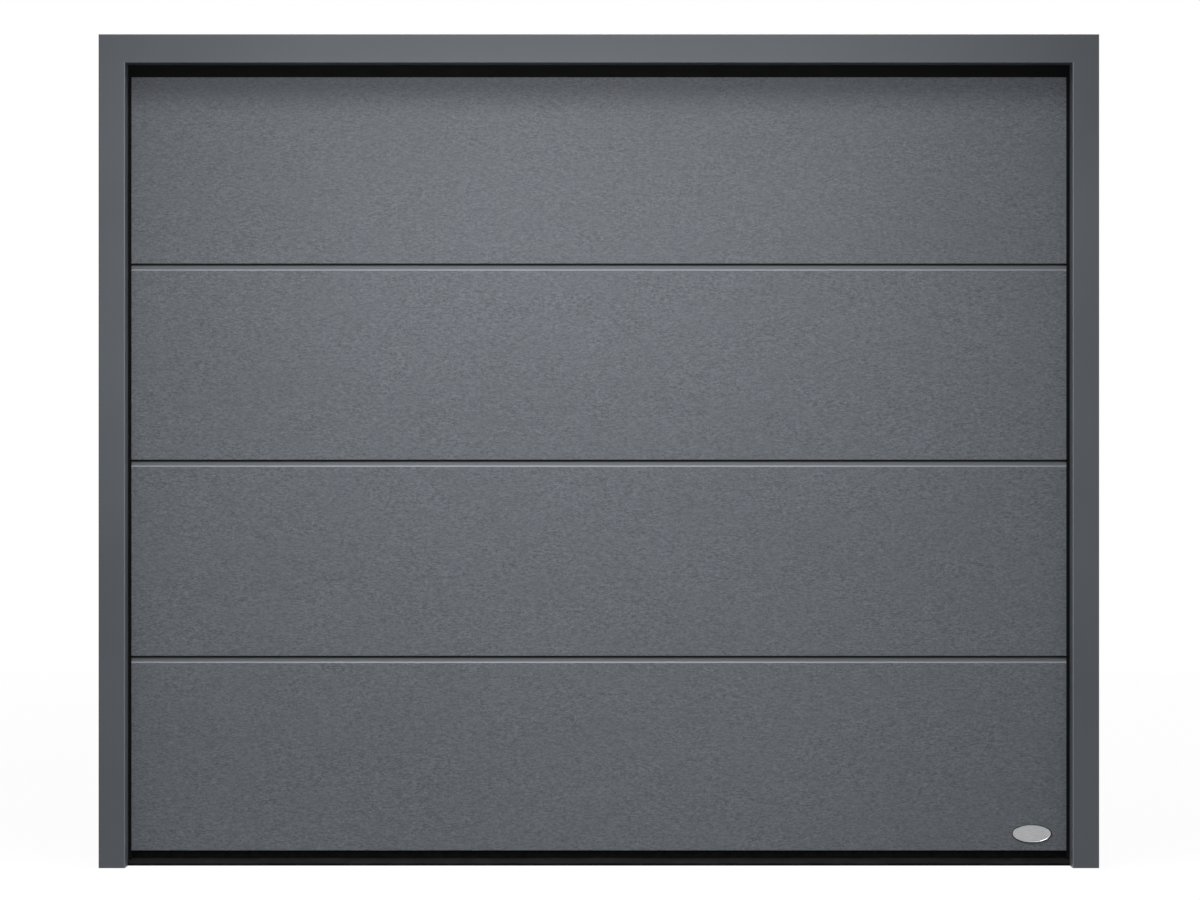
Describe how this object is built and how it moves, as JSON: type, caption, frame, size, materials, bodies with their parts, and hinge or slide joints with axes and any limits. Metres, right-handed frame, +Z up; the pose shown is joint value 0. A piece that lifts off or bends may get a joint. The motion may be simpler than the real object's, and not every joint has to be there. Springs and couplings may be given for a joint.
{
  "type": "sectional garage door",
  "caption": "Closed sectional overhead garage door with steel frame, insulated leaf sections, double side tracks and a rear torsion-spring shaft.",
  "frame": {"origin": "centre of the head member's front face, which bears on the wall above the doorway", "axes": "+X to the right seen from outside, +Y into the garage, +Z up"},
  "size_m": [2.686, 2.665, 2.34],
  "materials": {
    "frame_paint": "satin powder coat",
    "leaf_paint": "finely grained satin coat outside, pale coat inside",
    "galvanised_steel": "dull zinc",
    "pin_steel": "bright zinc",
    "spring_steel": "oiled dark steel",
    "cable_steel": "stranded wire",
    "cast_metal": "rough casting",
    "badge_metal": "satin",
    "black_rubber": "matt",
    "black_plastic": "matt",
    "roller_nylon": "matt"
  },
  "bodies": {
    "root": {"frame_head": "frame_paint", "frame_left_leg": "frame_paint", "frame_right_leg": "frame_paint", "floor_angles": "galvanised_steel", "head_seal": "black_rubber", "side_seals": "black_rubber", "bottom_section": "leaf_paint", "lower_middle_section": "leaf_paint", "upper_middle_section": "leaf_paint", "top_section": "leaf_paint", "end_caps": "galvanised_steel", "bottom_seal_rail": "black_plastic", "bottom_seal": "black_rubber", "badge_plate": "badge_metal", "centre_hinge_lower_leaves": "galvanised_steel", "centre_hinge_upper_leaves": "galvanised_steel", "side_hinge_lower_leaves": "galvanised_steel", "side_hinge_upper_leaves": "galvanised_steel", "hinge_pins": "pin_steel", "roller_carriers": "galvanised_steel", "bottom_brackets": "galvanised_steel", "top_brackets": "galvanised_steel", "roller_stems": "pin_steel", "roller_wheels": "roller_nylon", "left_vertical_track": "galvanised_steel", "right_vertical_track": "galvanised_steel", "left_curved_track": "galvanised_steel", "right_curved_track": "galvanised_steel", "left_lower_horizontal_track": "galvanised_steel", "right_lower_horizontal_track": "galvanised_steel", "left_upper_horizontal_track": "galvanised_steel", "right_upper_horizontal_track": "galvanised_steel", "track_brackets": "galvanised_steel", "corner_plates": "galvanised_steel", "rear_plates": "galvanised_steel", "ceiling_hangers": "galvanised_steel", "rear_spreader_bar": "galvanised_steel", "spring_shaft": "galvanised_steel", "torsion_springs": "spring_steel", "winding_cones": "cast_metal", "spring_anchor_bracket": "galvanised_steel", "cable_drums": "cast_metal", "cable_pulleys": "black_plastic", "left_lift_cable": "cable_steel", "right_lift_cable": "cable_steel"}
  },
  "joints": []
}
